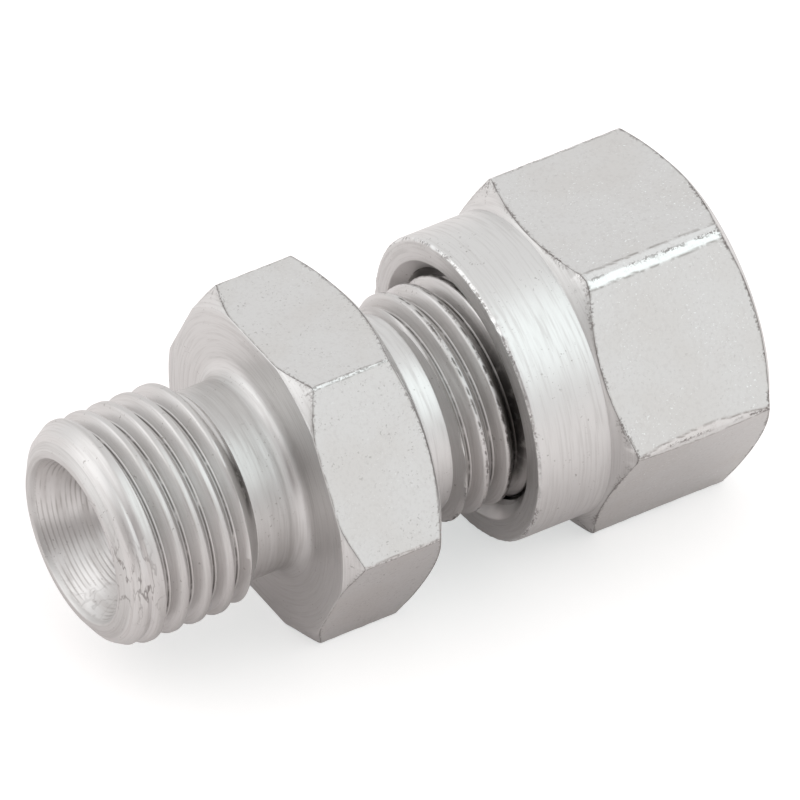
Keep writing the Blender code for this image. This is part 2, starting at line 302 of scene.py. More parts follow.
def hexagon_radius(station, share, corners, seed):
    """Distance from the axis to the hexagon: apothem over cosine, less what is worn off the corners.

    A worn facet's plane crosses the corner's direction one cut below the sharp corner, and it faces that
    direction turned by its tilt: its distance is the plane's own over the cosine of the angle to it. The
    cut grows by its belly towards the middle of the edge, as a sine of the share of the way along it.
    Returned with the radius: how deep the facets lie below the sharp corner.
    """
    flat = APOTHEM / np.cos(FROM_FLAT) + 0 * station
    cuts, tilts, bellies = (np.asarray(values)[CORNER] for values in corners)
    places = (station + 0 * ANGLE, CORNER * CORNERS_APART + 0 * station)
    waver = WAVER_DEPTH * ragged(places, WAVER_LENGTH, seed)
    waver = waver + RIPPLE_DEPTH * ragged(places, RIPPLE_LENGTH, seed + 1)
    cut = cuts * (1 + bellies * (np.sin(math.pi * share) - 0.5)) + waver
    plane = CORNER_RADIUS - np.maximum(cut, LEAST_CUT)
    facets = [plane * np.cos(lean) / np.cos(FROM_CORNER - lean) for lean in (-tilts, tilts)]
    facet = soft_min(facets[0], facets[1], FACET_BLEND)
    return soft_min(flat, facet, FACET_BLEND), flat - facet


# %% How near the hexagon's edges are
EDGE_WEAR = 0.2
EDGE_LINE = 0.05


def near_edges(station, edge_a, edge_b):
    """How near a point of the side is to any edge, and to the cones' edges, as two bell curves."""
    to_corner = APOTHEM * (math.tan(SECTOR / 2) - np.tan(np.abs(FROM_FLAT)))
    to_cone = np.minimum(np.abs(station - edge_a), np.abs(station - edge_b))
    nearest = np.minimum(to_cone, to_corner + 0 * station)
    return bell(nearest, EDGE_WEAR), bell(to_cone, EDGE_LINE)


# %% The hexagon's side
EDGE_SOFT = 0.06
NEAR_EDGE = np.array([0.0, 0.05, 0.12, 0.25, 0.45])[:, None]
CUT_SHARE = np.array([0.0, 0.45, 0.9])[:, None]
CONE_MARGIN = 0.05
CREASE_STEP = 0.02
UNWORN_END = 0.3


def hexagon_zone(side_a, side_b, corners, rows, worn, seed):
    """The hexagon from cone a to cone b. A side is its (station, radius, slope) at the small end.

    Rows run up cone a, then along the flats, close together at both edges, then down cone b. worn says
    how battered the edges are, from 0 to 1, and the small ends of the cones carry no wear.
    """
    (start, radius_a, slope_a), (end, radius_b, slope_b) = side_a, side_b
    plain, _ = hexagon_radius(np.full((1, COLUMNS + 1), (start + end) / 2), 0.5, corners, seed)
    edge_a = start + EDGE_SOFT + np.maximum(plain - radius_a, 0.0) * slope_a
    edge_b = end - EDGE_SOFT - np.maximum(plain - radius_b, 0.0) * slope_b
    low = edge_a + NEAR_EDGE[-1]
    high = edge_b - NEAR_EDGE[-1]
    middle = np.linspace(0.0, 1.0, rows + 2)[1:-1, None]
    station = np.concatenate(
        [
            start + EDGE_SOFT + (edge_a - start - EDGE_SOFT) * CUT_SHARE,
            edge_a + NEAR_EDGE,
            low + (high - low) * middle,
            edge_b - NEAR_EDGE[::-1],
            end - EDGE_SOFT + (edge_b - end + EDGE_SOFT) * CUT_SHARE[::-1],
        ]
    )
    share = np.clip((station - edge_a) / (edge_b - edge_a), 0.0, 1.0)
    radius, depth = hexagon_radius(station, share, corners, seed)
    cone = np.minimum(radius_a + (station - start) / slope_a, radius_b + (end - station) / slope_b)
    on_flat = smooth_step(-CONE_MARGIN, 0.0, cone - radius)
    radius = soft_min(radius, cone, FACET_BLEND)
    finish = np.full(len(station) - 1, FLAT)
    finish[: len(CUT_SHARE)] = TURNED
    finish[-len(CUT_SHARE) :] = TURNED
    wear, line = near_edges(station, edge_a, edge_b)
    from_end = np.minimum(station - start, end - station) - EDGE_SOFT
    wear = worn * wear * smooth_step(0.0, UNWORN_END, from_end)
    # Dark lines along the cones' edges and along the creases where worn facets meet the flats
    grime = np.maximum(line, bell(depth, CREASE_STEP) * on_flat)
    # Worn facets are polished: smoother, and with a painted sheen
    polish = smooth_step(0.0, CREASE_STEP, depth) * on_flat
    return zone(station, radius, finish, wear, grime, polish)


# %% The faces beside the hexagon
FACE_SHARE = np.array([0.0, 0.03, 0.5, 0.9])[:, None]
FACE_CURVE = np.array([0.0, 0.35, 0.7, 1.0])[:, None]
FACE_WEAR = 0.2
FACE_WEAR_WIDTH = 0.5


def face_zone(inner_radius, face_station, outer, outward):
    """A flat end face from a round edge to the hexagon's end row, whose radii are in outer.

    A quadratic curve rounds its outer corner, and outward is the way that the face looks, -1 or 1 along
    the axis. The section climbs the first kind and comes down the second, whose rows are turned round.
    """
    flat = inner_radius + (outer - EDGE_SOFT - inner_radius) * FACE_SHARE
    curve = outer - EDGE_SOFT * (1 - FACE_CURVE) ** 2
    radius = np.concatenate([flat, curve])
    drop = outward * EDGE_SOFT * FACE_CURVE**2 + 0 * outer
    station = face_station - np.concatenate([np.zeros_like(flat), drop])
    wear = FACE_WEAR * smooth_step(outer - FACE_WEAR_WIDTH, outer, radius)
    if outward > 0:
        station, radius, wear = station[::-1], radius[::-1], wear[::-1]
    return zone(station, radius, TURNED, wear)


# %% [markdown]
# ## The thread
#
# An M14 x 1.5 thread is a groove with 60 degree flanks that climbs 1.5 mm in a turn. It was rolled
# between dies, which press the groove in and squeeze the metal up to a rounded crest with a fine seam
# along its top. A sweep of the groove cut out with a Boolean would leave ragged faces. A height that
# depends on the distance from the nearest groove is smooth, and the rows climb with the thread, so that
# every crest and every root is a row of points.

# %% Thread sizes and its rows
PITCH = 1.5
MAJOR_RADIUS = 7.0
ROOT_RADIUS = MAJOR_RADIUS - 0.6134 * PITCH
CREST_RADIUS = 6.875
FLANK = math.tan(math.radians(30))
ROOT_HALF = 0.125
STUD_GROOVE = 0.11
TUBE_GROOVE = HEX_END + 1.08
half_steps = np.array([0.0, 0.06, 0.14, 0.32, 0.52, 0.58, 0.64])
THREAD_STEPS = np.concatenate([-half_steps[:0:-1], half_steps, [PITCH / 2]])


def from_groove(station, groove):
    """Distance along the axis to the nearest groove, which lies one pitch further on for each turn."""
    turns = (station - groove) / PITCH - ANGLE / TAU
    return np.abs(turns - np.round(turns)) * PITCH


def climbing_rows(start, end, groove):
    """Stations of rows that climb one pitch in a turn, and stop at a start and an end station."""
    first = math.floor((start - groove) / PITCH) - 1
    last = math.ceil((end - groove) / PITCH)
    turns = np.arange(first, last + 1)
    rows = (turns[:, None] * PITCH + THREAD_STEPS[None, :]).reshape(-1, 1)
    return np.clip(groove + rows + PITCH * ANGLE / TAU, start, end)


# %% How a rolled thread is rounded, where it is worn, and where it is darkened by dirt and painted shade
THREAD_BLEND = 0.05
UNEVEN_LENGTH = 0.9
BURR_LEVELS = (0.2, 1.4)
FULL_BURR = 0.03
SEAM_LEVELS = (-0.8, 0.6)
SEAM_HALF = 0.06
SEAM_DEPTH = 0.02
CREST_LEVELS = (CREST_RADIUS - 0.14, CREST_RADIUS - 0.05)
# How much the crests are darkened, where the line of painted shade in each root lies, and how dark dirt and
# painted shade make a worn thread's flanks
CREST_GRIME = 0.3
ROOT_DIRT_WIDTHS = (0.02, 0.13)
ROOT_DIRT_DEPTHS = (0.25, 0.6)
FLANK_DEPTHS = (0.05, 0.35)
FLANK_GRIME = 0.45
WORN_FROM_ROOT = (0.55, 0.7)
BRIGHT_FROM_ROOT = (0.5, 0.62)
# Polish on the crests: smoother, and with a painted sheen
CREST_POLISH = 0.25


def crest_and_flank_marks(radius, depth, distance, seam, worn):
    """Wear, darkening and polishing of a thread, by the depth below the blank and the distance from the
    root.

    A thin line of painted shade lies in every root, and a worn thread is darker on its flanks too, with
    dirt and painted shade. The crests are a little darker, most along the seam.
    """
    on_crest = smooth_step(*CREST_LEVELS, radius)
    in_root = (1 - smooth_step(*ROOT_DIRT_WIDTHS, distance)) * smooth_step(*ROOT_DIRT_DEPTHS, depth)
    on_flank = smooth_step(*FLANK_DEPTHS, depth)
    grime = np.maximum(in_root, FLANK_GRIME * worn * on_flank)
    grime = np.maximum(grime, np.maximum(seam, CREST_GRIME) * on_crest)
    wear = smooth_step(*WORN_FROM_ROOT, distance) * on_crest * worn
    polish = CREST_POLISH * worn * smooth_step(*BRIGHT_FROM_ROOT, distance) * on_crest
    return wear, grime, polish


def outside_thread_zone(start, end, groove, outline, lift, rounding, burr, seed):
    """A thread on the outside: flanks rise from the root at 30 degrees, and the crest is rounded.

    outline gives the radius of the turned blank at a station, which the thread never passes, and lift
    says how far the root is raised there. A thread with more burr is also worn, and darker with dirt and
    painted shade.
    """
    worn = burr / FULL_BURR
    station = climbing_rows(start, end, groove)
    distance = from_groove(station, groove)
    blank = outline(station)
    root = ROOT_RADIUS + lift(station)
    radius = soft_max(root + (distance - ROOT_HALF) / FLANK, root, THREAD_BLEND)
    uneven = ragged(around(CREST_RADIUS, station), UNEVEN_LENGTH, seed)
    radius = soft_min(radius, CREST_RADIUS - burr * smooth_step(*BURR_LEVELS, uneven), rounding)
    seam = smooth_step(PITCH / 2 - SEAM_HALF, PITCH / 2, distance)
    seam = seam * smooth_step(*SEAM_LEVELS, uneven) * worn
    radius = soft_min(radius - SEAM_DEPTH * seam, blank, THREAD_BLEND)
    marks = crest_and_flank_marks(radius, blank - radius, distance, seam, worn)
    return zone(station, radius, THREAD, *marks)


# %% [markdown]
# ## From zones to a mesh
#
# Zones that follow each other share their last and first row, and the last column of a zone lies on its
# first. So the zones become one stack of rows, faces join each point to its neighbours, and points that
# lie on each other are merged. In a thread the last column meets the first one a whole pitch further on,
# and merging closes that step too.

# %% Build a closed mesh from zones
NO_FACE = -1
MERGE = 0.00002 * MM
SHARP_ANGLE = math.radians(38)


def mesh_from_zones(name, zones, materials):
    """Stack the zones, join the points in squares, merge what coincides and keep the marks."""
    stack = {key: np.concatenate([part[key] for part in zones]) for key in ("station", "radius") + MARKS}
    finish = np.concatenate([np.append(part["finish"], NO_FACE) for part in zones])[:-1]
    x = ORIGIN_X + stack["station"]
    y = stack["radius"] * np.sin(ANGLE)
    z = AXIS_Z - stack["radius"] * np.cos(ANGLE)
    points = np.stack([x, y, z], axis=-1).reshape(-1, 3) * MM
    columns = COLUMNS + 1
    row = np.flatnonzero(finish != NO_FACE)[:, None]
    column = np.arange(COLUMNS)[None, :]
    corner = row * columns + column
    faces = np.stack([corner, corner + 1, corner + columns + 1, corner + columns], axis=-1)
    mesh = bpy.data.meshes.new(name)
    mesh.from_pydata(points, [], faces.reshape(-1, 4))
    mesh.polygons.foreach_set("material_index", np.repeat(finish[row], COLUMNS))
    for key in MARKS:
        attribute = mesh.attributes.new(key, "FLOAT", "POINT")
        attribute.data.foreach_set("value", stack[key].ravel())
    bm = bmesh.new()
    bm.from_mesh(mesh)
    bmesh.ops.remove_doubles(bm, verts=bm.verts, dist=MERGE)
    bmesh.ops.recalc_face_normals(bm, faces=bm.faces)
    open_edges = sum(not edge.is_manifold for edge in bm.edges)
    bm.to_mesh(mesh)
    bm.free()
    for material in materials:
        mesh.materials.append(material)
    mesh.shade_smooth()
    mesh.set_sharp_from_angle(angle=SHARP_ANGLE)
    mesh.calc_loop_triangles()
    print(f"{name}: {len(mesh.loop_triangles)} triangles, {open_edges} open edges")
    return mesh


def add_piece(name, zones, materials, body, node):
    """Add a finished piece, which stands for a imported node, rides on its body and has a material slot."""
    piece = bpy.data.objects.new(name, mesh_from_zones(name, zones, materials))
    bpy.context.scene.collection.objects.link(piece)
    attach(piece, body)
    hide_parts(node)


# %% [markdown]
# ## Materials by their real names
#
# A few helpers keep the node work short. One turns a colour as a screen shows it into the linear value
# that a shader wants. Another adds a node, sets what is given and joins its inputs.

# %% Helpers for nodes


def linear(hex_colour):
    """A screen colour such as #d0cecd as linear red, green, blue and alpha."""
    parts = [int(hex_colour[i : i + 2], 16) / 255 for i in (1, 3, 5)]
    return [c / 12.92 if c <= 0.04045 else ((c + 0.055) / 1.055) ** 2.4 for c in parts] + [1.0]


def add_node(tree, kind, inputs=None, **settings):
    """A node of one kind. An input given as a socket is linked, and any other value is set."""
    node = tree.nodes.new(kind)
    for key, value in settings.items():
        setattr(node, key, value)
    for key, value in (inputs or {}).items():
        if isinstance(value, bpy.types.NodeSocket):
            tree.links.new(value, node.inputs[key])
        else:
            node.inputs[key].default_value = value
    return node


def new_material(name):
    """A node material with its Principled shader, as a metal, and the coordinates of the object."""
    material = bpy.data.materials.new(name)
    material.use_nodes = True
    tree = material.node_tree
    tree.nodes.clear()
    shader = add_node(tree, "ShaderNodeBsdfPrincipled", {"Metallic": 1.0})
    add_node(tree, "ShaderNodeOutputMaterial", {"Surface": shader.outputs[0]})
    return material, tree, shader, add_node(tree, "ShaderNodeTexCoord").outputs["Object"]


def calculate(tree, operation, *values):
    """The result of a Math node for up to three sockets or numbers."""
    return add_node(tree, "ShaderNodeMath", dict(enumerate(values)), operation=operation).outputs[0]


def multiply(tree, first, second):
    """The product of two masks."""
    return calculate(tree, "MULTIPLY", first, second)


def rescale(tree, value, low, high, to_low=0.0, to_high=1.0, curve="SMOOTHSTEP"):
    """A value brought from one range to another, eased at both ends unless the curve is linear."""
    inputs = {"Value": value, "From Min": low, "From Max": high, "To Min": to_low, "To Max": to_high}
    return add_node(tree, "ShaderNodeMapRange", inputs, interpolation_type=curve).outputs["Result"]


def tint(tree, below, over, mask, amount=None):
    """A colour with another laid over it by a mask, and less of it where an amount is given.

    A Mix node has sockets of several kinds under each name, so its colour sockets go by their numbers.
    """
    share = mask if amount is None else multiply(tree, mask, amount)
    return add_node(tree, "ShaderNodeMix", {0: share, 6: below, 7: over}, data_type="RGBA").outputs[2]


# %% Helpers for patterns


def per_mm(size):
    """The texture scale that repeats a pattern once in a size given in millimetres."""
    return 1 / (size * MM)


def noise(tree, place, size, detail, roughness=0.5):
    """Noise between 0 and 1 whose largest shapes have a size in millimetres."""
    inputs = {"Vector": place, "Scale": per_mm(size), "Detail": detail, "Roughness": roughness}
    return add_node(tree, "ShaderNodeTexNoise", inputs).outputs["Fac"]


def speckle(tree, place, size, low, high, detail=2.0, lift=None):
    """A mask of spots of one size: noise, raised by a lift where one is given, and cut at two levels."""
    height = noise(tree, place, size, detail, roughness=0.6)
    if lift is not None:
        height = calculate(tree, "ADD", height, lift)
    return rescale(tree, height, low, high)


def patchy(tree, place, spots, patches):
    """A mask of fine spots that only show inside broad ones."""
    return multiply(tree, speckle(tree, place, *spots), speckle(tree, place, *patches))


def hairlines(tree, place, size, width):
    """A mask of thin wandering lines: where noise of one size passes through its middle value."""
    offset = calculate(tree, "SUBTRACT", noise(tree, place, size, detail=3.0), 0.5)
    return rescale(tree, calculate(tree, "ABSOLUTE", offset), width, 0.0)


def mark(tree, name):
    """The value of one of the marks that the mesh carries."""
    return add_node(tree, "ShaderNodeAttribute", attribute_name=name).outputs["Fac"]


def add_bump(tree, shader, height, strength, depth):
    """Tilt the shading by the slopes of a height, of which 1 stands for a depth in millimetres."""
    inputs = {"Height": height, "Strength": strength, "Distance": depth * MM}
    bump = add_node(tree, "ShaderNodeBump", inputs)
    tree.links.new(bump.outputs["Normal"], shader.inputs["Normal"])


# %% [markdown]
# ## Zinc on drawn bar
#
# The flats are the skin of cold-drawn bar, pickled and barrel plated with bright zinc. It is a metal with
# a fine matte grain, so it looks pale and even. Tiny pits are dark, white specks painted into the colour
# stand for glints, a faint warm cast drifts over it, and knocks from the barrel darken the edges. Where
# the edges are worn smooth, a painted sheen lies on them.

# %% Colours of the zinc, and its spots
ZINC_PALE = linear("#d8d7d6")
ZINC_WARM = linear("#d5d3d1")
ZINC_DULL = linear("#c3c0be")
# Near white, for painted glints and the painted sheen
ZINC_GLINT = linear("#f3f5f5")
# A dark zinc colour for pits, nicks, chatter and dirt, and for painted shade
ZINC_NICK = linear("#8a8480")
# Near black, for caked dirt and for deep painted shade
SOOT = linear("#3f3b39")
CHIP = linear("#787270")

# Each kind of spot: its size in millimetres, the noise where it starts and where it is full, and detail
WARM_DRIFT = (4.0, 0.35, 0.7)
MOTTLE = (0.22, 0.45, 0.72, 3.0)
FLAT_PITS = (0.17, 0.6, 0.7)
FLAT_PIT_PATCHES = (1.6, 0.42, 0.62)
GLINTS = (0.14, 0.64, 0.7)
GLINT_PATCHES = (3.5, 0.4, 0.6)
# Painted sheen on polished places
BURNISH = (0.3, 0.25, 0.5)
EDGE_LINES = (0.5, 0.36, 0.56, 4.0)
NICKS = (0.15, 0.62, 0.7, 4.0)
NICK_PATCHES = (1.7, 0.42, 0.56)
NICK_LIFT = 0.19
GRAIN_SIZE = 0.14
GRAIN_DEPTH = 0.02

# %% The flats' finish


def chipped(tree, place):
    """A mask of nicks that crowd towards worn edges: fine noise that the wear lifts over a level."""
    wear = mark(tree, "wear")
    nicks = speckle(tree, place, *NICKS, lift=multiply(tree, wear, NICK_LIFT))
    return multiply(tree, multiply(tree, nicks, wear), speckle(tree, place, *NICK_PATCHES))


def burnished(tree, place):
    """A mask of polished metal, a little broken up, where a near-white painted sheen goes on the colour."""
    return multiply(tree, mark(tree, "polish"), speckle(tree, place, *BURNISH))


def drawn_zinc(name, pitted, glinting):
    """Bright zinc on drawn steel bar: matte, pale, with pits, painted glints and sheen, knocked edges."""
    material, tree, shader, place = new_material(name)
    colour = tint(tree, ZINC_PALE, ZINC_WARM, speckle(tree, place, *WARM_DRIFT))
    colour = tint(tree, colour, ZINC_DULL, speckle(tree, place, *MOTTLE), amount=0.3)
    pits = patchy(tree, place, FLAT_PITS, FLAT_PIT_PATCHES)
    colour = tint(tree, colour, ZINC_NICK, pits, amount=pitted)
    # Painted glints: white specks in the colour stand for sparkles of light
    glints = patchy(tree, place, GLINTS, GLINT_PATCHES)
    colour = tint(tree, colour, ZINC_GLINT, glints, amount=glinting)
    # Painted sheen where the metal is polished
    colour = tint(tree, colour, ZINC_GLINT, burnished(tree, place), amount=0.3)
    # Dark lines along the edges
    lines = multiply(tree, mark(tree, "grime"), speckle(tree, place, *EDGE_LINES))
    colour = tint(tree, colour, ZINC_NICK, lines, amount=0.8)
    chips = chipped(tree, place)
    colour = tint(tree, colour, CHIP, chips, amount=0.9)
    tree.links.new(colour, shader.inputs["Base Color"])
    rough = rescale(tree, mark(tree, "polish"), 0.0, 1.0, to_low=0.42, to_high=0.3, curve="LINEAR")
    tree.links.new(rough, shader.inputs["Roughness"])
    hollows = calculate(tree, "SUBTRACT", noise(tree, place, GRAIN_SIZE, detail=3.0), chips)
    add_bump(tree, shader, hollows, strength=0.3, depth=GRAIN_DEPTH)
    return material


# %% [markdown]
# ## Zinc on turned steel
#
# A cutting tool leaves a fine spiral of grooves, and the zinc on top keeps them. They lie across the
# axis on a cylinder and in circles on a face, so the pattern runs on the sum of the station and the
# radius, and hardly changes round the axis. The surface is glossier than the drawn flats, and its
# highlights break up into streaks. At the stud's mouth hairline cracks in the zinc wander round it.

# %% Rings, chatter, and dirt with painted shade
STREAKS = (0.17, 0.42, 0.68, 3.0)
GROOVE_SPACING = 0.1
RIDGE_PATCHES = (2.5, 0.42, 0.62)
DIRT = (0.5, 0.1, 0.6, 3.0)
CAKED_DIRT = (0.9, 0.25, 0.5, 4.0)
TURNED_PITS = (0.22, 0.64, 0.72)
TURNED_PIT_PATCHES = (2.2, 0.46, 0.64)
CRACK_SIZE = 0.9
CRACK_WIDTH = 0.03
BEND_SIZE = 1.3
BEND = 7.0


def ring_place(tree, place, spread, radial=1.0):
    """Coordinates for turning marks: station plus radius in X, and slow changes round the axis.

    radial weighs the radius, and without it the marks follow the station alone.
    """
    to_axis = {"Vector": place, "Location": (0.0, 0.0, -AXIS_Z * MM), "Scale": (0.0, 1.0, 1.0)}
    across = add_node(tree, "ShaderNodeMapping", to_axis).outputs[0]
    radius = add_node(tree, "ShaderNodeVectorMath", {0: across}, operation="LENGTH").outputs["Value"]
    station = add_node(tree, "ShaderNodeSeparateXYZ", {0: place}).outputs["X"]
    depth = calculate(tree, "MULTIPLY_ADD", radius, radial, station)
    along = add_node(tree, "ShaderNodeCombineXYZ", {"X": depth}).outputs[0]
    slow = add_node(tree, "ShaderNodeVectorMath", {0: across, "Scale": spread}, operation="SCALE")
    rings = {0: slow.outputs["Vector"], 1: along}
    return add_node(tree, "ShaderNodeVectorMath", rings, operation="ADD").outputs[0]


def chatter(tree, rings, spacing):
    """Ridges left by a tool that shook: a sharpened sine of the place in the rings, bent by slow noise."""
    depth = add_node(tree, "ShaderNodeSeparateXYZ", {0: rings}).outputs["X"]
    turns = multiply(tree, depth, TAU * per_mm(spacing))
    bend = noise(tree, rings, BEND_SIZE, detail=2.0)
    turns = calculate(tree, "MULTIPLY_ADD", bend, BEND, turns)
    return rescale(tree, calculate(tree, "SINE", turns), 0.1, 1.0)


def soiled(tree, colour, place, rings):
    """A colour under dirt and painted shade: in the rings where they are thin, near black where thick."""
    grime = mark(tree, "grime")
    thin = multiply(tree, grime, speckle(tree, rings, *DIRT))
    colour = tint(tree, colour, ZINC_NICK, thin, amount=0.6)
    thick = rescale(tree, grime, 0.5, 1.0, to_high=0.9, curve="LINEAR")
    return tint(tree, colour, SOOT, multiply(tree, thick, speckle(tree, place, *CAKED_DIRT)))


# %% The turned finish


def turned_zinc(name, base, shade, roughness, groove_depth, ridges=0.0):
    """Bright zinc on turned steel: glossy, with fine rings, painted sheen, dirt and painted shade."""
    material, tree, shader, place = new_material(name)
    rings = ring_place(tree, place, spread=0.05)
    streaks = speckle(tree, rings, *STREAKS)
    colour = tint(tree, linear(base), linear(shade), streaks, amount=0.32)
    height = noise(tree, rings, GROOVE_SPACING, detail=3.0)
    if ridges:
        lines = chatter(tree, ring_place(tree, place, spread=0.06, radial=0.0), ridges)
        lines = multiply(tree, lines, speckle(tree, place, *RIDGE_PATCHES))
        colour = tint(tree, colour, ZINC_NICK, lines, amount=0.4)
        height = calculate(tree, "MULTIPLY_ADD", lines, -0.6, height)
    # Painted sheen where the metal is polished
    colour = tint(tree, colour, ZINC_GLINT, burnished(tree, place), amount=0.5)
    # Dirt, and painted shade in roots, recesses and gaps
    colour = soiled(tree, colour, place, rings)
    colour = tint(tree, colour, CHIP, chipped(tree, place), amount=0.8)
    cracks = hairlines(tree, ring_place(tree, place, spread=0.4), CRACK_SIZE, CRACK_WIDTH)
    colour = tint(tree, colour, CHIP, multiply(tree, cracks, mark(tree, "crack")))
    pits = patchy(tree, place, TURNED_PITS, TURNED_PIT_PATCHES)
    colour = tint(tree, colour, ZINC_NICK, pits, amount=0.6)
    tree.links.new(colour, shader.inputs["Base Color"])
    uneven = rescale(
        tree, streaks, 0.0, 1.0, to_low=roughness, to_high=roughness + 0.14, curve="LINEAR"
    )
    gloss = calculate(tree, "MULTIPLY_ADD", mark(tree, "polish"), -0.1, uneven)
    tree.links.new(gloss, shader.inputs["Roughness"])
    add_bump(tree, shader, height, strength=0.5, depth=groove_depth)
    return material


# %% The materials
# Each turned finish: its name, its colour, that of its streaks, its roughness and its grooves' depth
PITTED_FLATS = drawn_zinc("zinc_plated_drawn_steel_pitted", pitted=0.45, glinting=0.3)
GLINTING_FLATS = drawn_zinc("zinc_plated_drawn_steel_glinting", pitted=0.2, glinting=0.8)
TURNING = turned_zinc("zinc_plated_turned_steel", "#d9d8d7", "#c2bfbd", 0.35, 0.014)
ROLLED = turned_zinc("zinc_plated_rolled_thread", "#d8d6d5", "#c6c2bf", 0.36, 0.006)
CHATTERED = turned_zinc("zinc_plated_bored_steel", "#d8d6d5", "#bdb8b5", 0.34, 0.012, ridges=0.25)
HARDENED = turned_zinc("turned_hardened_steel", "#a9a8aa", "#8f8d8e", 0.34, 0.01)
BODY_ZINC = [PITTED_FLATS, TURNING, ROLLED, CHATTERED]
NUT_ZINC = [GLINTING_FLATS, TURNING, ROLLED]
print("materials:", sorted({m.name for m in BODY_ZINC + NUT_ZINC + [HARDENED]}))

# %% [markdown]
# ## The body
#
# The body's section starts at the stud's mouth and runs round it: rim and lead-in, rolled thread, neck,
# fillet, hexagon, second neck, second thread, and back through the 24 degree cone, the tube's socket and
# the bore to the stud's 60 degree countersink. The blank's outline limits each thread, so the thread fades
# out on the lead-in and ends at the neck as a rolled one does. Dirt, wear and painted shade are stains:
# bell curves round the places that show them.

# %% Sizes and marks of the body's details
# Six corners of the hexagon, from the lowest round by the back: depth worn off, lean of the facet, belly
BODY_CORNERS = (
    (0.04, 0.04, 0.03, 0.045, 0.04, 0.04),
    np.radians([3, 3, 3, 4, 3, 3]),
    (0.2, 0.2, 0.2, 0.2, 0.2, 0.2),
)
# How each thread's crest is rounded, how far it is worn unevenly, and the seed of that unevenness
STUD_CREST = {"rounding": 0.12, "burr": 0.004, "seed": 11}
TUBE_CREST = {"rounding": 0.16, "burr": FULL_BURR, "seed": 17}
FIRST_LIFT = 0.5
LIFT_STATIONS = (1.2, 2.4)
RIM_DEPTH = 0.3
BORE_EDGE = 0.5
# How much darker the lead-in and the mouth's rim are all over
LEAD_GRIME = 0.35
# The stud's neck is darkened by dirt and painted shade, which fade out up the fillet
NECK_GRIME = 0.5
DIRT_RISE = 0.4 * STUD_FILLET
NECK_TOP = STUD_NECK_RADIUS + STUD_FILLET
FILLET_STEPS = 8
STUD_THREAD_START = 0.35
TUBE_NECK_TOP = TUBE_NECK_RADIUS + 0.4
TUBE_THREAD_END = BODY_END - 0.08
COUNTERSINK_RIM = (STUD_MOUTH_RADIUS - RIM_DEPTH * COUNTERSINK_SLOPE, RIM_DEPTH)
COUNTERSINK_DEPTH = (STUD_MOUTH_RADIUS - BORE_RADIUS) / COUNTERSINK_SLOPE

# Each stain: its mark, station, reach along the axis, angle, spread in degrees, and amount
LEAD_CRACKS = ("crack", STUD_THREAD_START, 1.0, 258, 16, 0.8)
THREAD_CRACKS = ("crack", STUD_LEAD_END - 0.4, 0.7, 262, 14, 0.8)
MOUTH_CRACKS = ("crack", 1.2, 1.2, 355, 22, 0.45)
# Dirt and painted shade where the stud's thread runs out into the neck, on its lower side
STUD_NECK_DIRT = ("grime", STUD_NECK_START - 0.35, 0.45, 230, 20, 1.0)
# Painted shade, with some dirt, on the tube end's thread in the gap under the nut's mouth
TUBE_THREAD_DIRT = ("grime", NUT_FRONT + 0.3, 1.1, 252, 45, 1.0)

# %% Turned blanks of the two threads


def stud_blank(station):
    """Radius of the stud's blank: two lead-in cones, a cylinder and a 45 degree run down to the neck."""
    corners = [0.0, STUD_LEAD_STEP, STUD_LEAD_END]
    radii = [STUD_RIM_RADIUS, STUD_LEAD_RADIUS, CREST_RADIUS]
    rise = np.interp(station, corners, radii)
    return np.minimum(rise, np.maximum(STUD_NECK_START - station, 0.0) + STUD_NECK_RADIUS)


def stud_lift(station):
    """How far the stud's first turn stands above the full root: the dies bite deeper turn by turn."""
    return FIRST_LIFT * (1 - smooth_step(*LIFT_STATIONS, station))


def tube_end_blank(station):
    """Radius of the tube end's blank: up from the neck along a flank, and down a 45 degree chamfer."""
    rise = TUBE_NECK_RADIUS + np.maximum(station - TUBE_NECK_END, 0.0) / FLANK
    fall = CREST_RADIUS - TUBE_CHAMFER + BODY_END - station
    return np.minimum(np.minimum(rise, fall), CREST_RADIUS)


# %% The stud


def stud_zones():
    """The stud's lead-in, its thread, and its neck with the fillet that runs out into the face."""
    lead = [
        COUNTERSINK_RIM,
        (STUD_MOUTH_RADIUS, 0.0),
        (STUD_RIM_RADIUS, 0.0),
        (stud_blank(STUD_THREAD_START), STUD_THREAD_START),
    ]
    thread = outside_thread_zone(
        STUD_THREAD_START, STUD_NECK_START, STUD_GROOVE, stud_blank, stud_lift, **STUD_CREST
    )
    turn = np.linspace(0, math.pi / 2, FILLET_STEPS + 1)
    fillet_radius = NECK_TOP - STUD_FILLET * np.cos(turn)
    fillet = np.stack([fillet_radius, HEX_START - STUD_FILLET * (1 - np.sin(turn))], axis=1)
    neck = guard_ends(np.concatenate([[[STUD_NECK_RADIUS, STUD_NECK_START]], fillet]))
    # The neck's dirt and painted shade fade out up the fillet
    risen = smooth_step(0.0, DIRT_RISE, neck[:, 0:1] - STUD_NECK_RADIUS)
    return [
        stain(round_zone(lead, reach=0.08, grime=LEAD_GRIME), *LEAD_CRACKS),
        stain(stain(thread, *STUD_NECK_DIRT), *THREAD_CRACKS),
        zone(neck[:, 1:2], neck[:, 0:1], TURNED, grime=NECK_GRIME * (1 - risen)),
    ]


# %% The tube end and the bore


